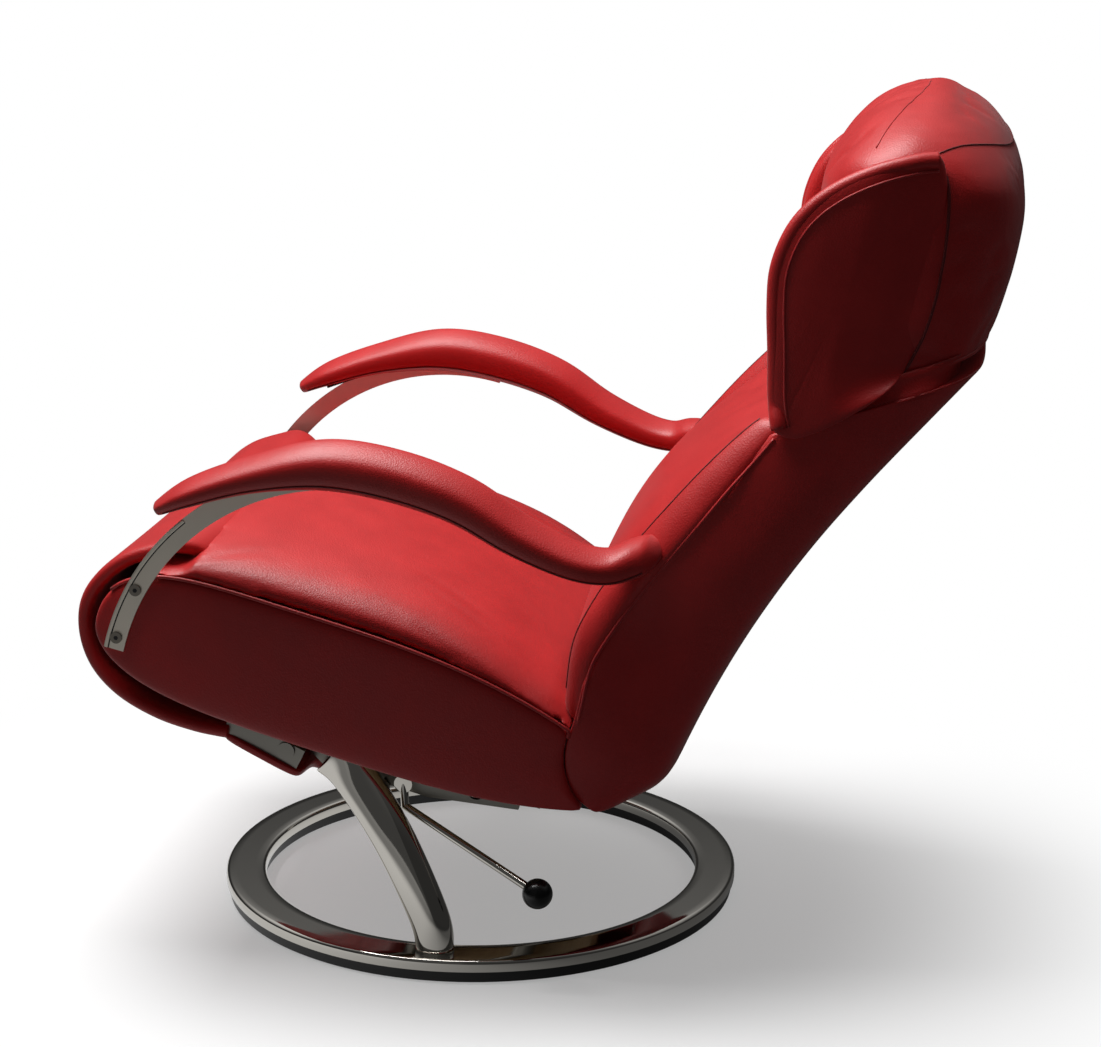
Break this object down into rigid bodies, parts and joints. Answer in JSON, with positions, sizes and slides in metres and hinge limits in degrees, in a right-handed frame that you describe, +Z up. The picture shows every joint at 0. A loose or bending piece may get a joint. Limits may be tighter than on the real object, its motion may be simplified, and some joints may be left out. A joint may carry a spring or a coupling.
{
  "type": "swivel recliner chair",
  "caption": "Leather swivel recliner with a winged headrest, floating curved arms and a fold-out footrest on a chrome ring base.",
  "frame": {"origin": "on the floor at the centre of the ring base", "axes": "+Z up, the sitter faces -Y, +X is the sitter's left"},
  "size_m": [0.758, 1.0919, 1.0483],
  "materials": {
    "red_leather": "semi-gloss pigmented leather with fine grain",
    "chrome": "bright plated",
    "grey_steel": "satin zinc grey",
    "ball_steel": "polished balls",
    "black_steel": "satin black paint",
    "rubber": "matt",
    "plywood": "raw plywood",
    "webbing": "woven elastic",
    "black_plastic": "moulded, slight sheen"
  },
  "bodies": {
    "floor_base": {"rubber_tread": "rubber", "floor_ring": "black_steel", "bearing_balls": "ball_steel"},
    "chassis": {"swivel_ring": "chrome", "left_leg": "chrome", "right_leg": "chrome", "left_rail": "grey_steel", "right_rail": "grey_steel", "front_cross_tube": "grey_steel", "rear_cross_tube": "grey_steel", "seat_pan": "plywood", "seat_cleats": "plywood", "seat_front_rail": "plywood", "seat_webbing": "webbing", "left_side_panel": "red_leather", "right_side_panel": "red_leather", "seat_cushion": "red_leather", "front_flap": "red_leather", "left_arm_bar": "grey_steel", "right_arm_bar": "grey_steel", "arm_bar_screws": "chrome", "left_hinge_plate": "grey_steel", "right_hinge_plate": "grey_steel", "recline_pins": "chrome", "footrest_pins": "chrome", "lever_pivot": "chrome", "lever_hook": "grey_steel"},
    "back": {"back_lower_rail": "red_leather", "back_hinge_arms": "grey_steel", "back_cheeks": "red_leather", "back_shell": "red_leather", "back_panel": "plywood", "back_cushion": "red_leather", "arm_lugs": "grey_steel", "arm_pivot_pins": "chrome", "head_brackets": "grey_steel", "head_hinge_pin": "chrome"},
    "headrest": {"head_hinge_plate": "grey_steel", "head_cushion": "red_leather", "left_wing": "red_leather", "right_wing": "red_leather"},
    "left_arm": {"left_arm_pad": "red_leather", "left_bar_guide": "black_plastic"},
    "right_arm": {"right_arm_pad": "red_leather", "right_bar_guide": "black_plastic"},
    "footrest": {"footrest_board": "plywood", "footrest_pad": "red_leather", "footrest_arms": "grey_steel", "footrest_rivets": "chrome"},
    "lever": {"lever_rod": "chrome", "lever_knob": "black_plastic"}
  },
  "joints": [
    {"name": "swivel", "type": "hinge", "parent": "floor_base", "child": "chassis", "pos_m": [0, 0, 0.02], "axis": [0, 0, 1], "continuous": true},
    {"name": "recline", "type": "hinge", "parent": "chassis", "child": "back", "pos_m": [0, 0.24802, 0.28773], "axis": [-1, 0, 0], "range_deg": [-12, 8]},
    {"name": "head_tilt", "type": "hinge", "parent": "back", "child": "headrest", "pos_m": [0, 0.47008, 0.71494], "axis": [-1, 0, 0], "range_deg": [-8, 6]},
    {"name": "left_arm_swing", "type": "hinge", "parent": "back", "child": "left_arm", "pos_m": [0.34, 0.24461, 0.5347], "axis": [-1, 0, 0], "range_deg": [-8, 12]},
    {"name": "right_arm_swing", "type": "hinge", "parent": "back", "child": "right_arm", "pos_m": [-0.34, 0.24461, 0.5347], "axis": [-1, 0, 0], "range_deg": [-8, 12]},
    {"name": "footrest_flip", "type": "hinge", "parent": "chassis", "child": "footrest", "pos_m": [0, -0.36204, 0.39673], "axis": [-1, 0, 0], "range_deg": [0, 120], "deforming": ["front_flap"]},
    {"name": "lever_lift", "type": "hinge", "parent": "chassis", "child": "lever", "pos_m": [0.254, -0.04749, 0.22129], "axis": [1, 0, 0], "range_deg": [0, 14], "stiffness_Nm_per_rad": 4, "springref_deg": -5.73}
  ],
  "couplings": [
    {"joint": "left_arm_swing", "follows": "recline", "ratio": -1},
    {"joint": "right_arm_swing", "follows": "recline", "ratio": -1}
  ]
}
